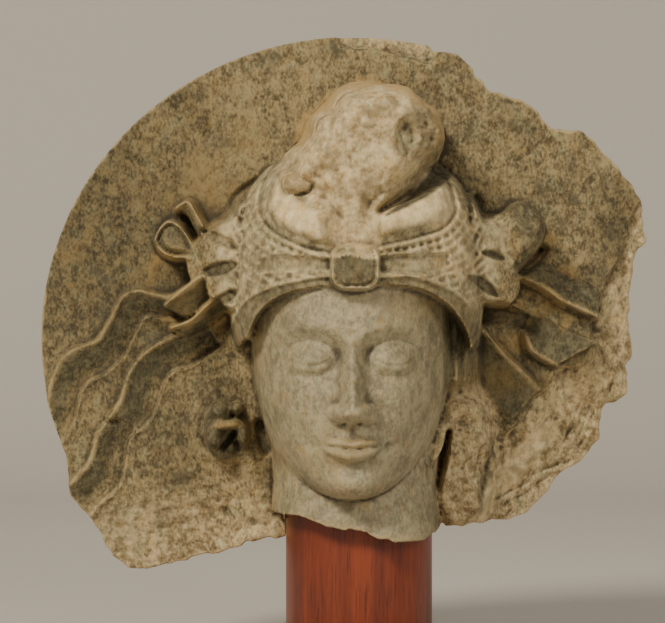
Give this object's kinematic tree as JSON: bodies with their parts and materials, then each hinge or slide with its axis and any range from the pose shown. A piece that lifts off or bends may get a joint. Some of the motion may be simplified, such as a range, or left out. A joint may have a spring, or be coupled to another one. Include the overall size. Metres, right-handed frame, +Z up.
{
  "type": "bodhisattva head relief on stand",
  "caption": "Carved stone head in a turban before a broken round halo, resting on a turned wooden column and foot.",
  "frame": {"origin": "middle of the stand's underside, on the column's axis", "axes": "+Z up, the face looks towards -Y, +X to the viewer's right"},
  "size_m": [0.4854, 0.2634, 0.5103],
  "materials": {
    "schist": "carved grey-green schist, worn, with ochre and pale patina",
    "stand_wood": "turned red-brown hardwood with a satin varnish"
  },
  "bodies": {
    "root": {"bodhisattva_head": "schist", "stand_column": "stand_wood", "stand_foot": "stand_wood"}
  },
  "joints": []
}
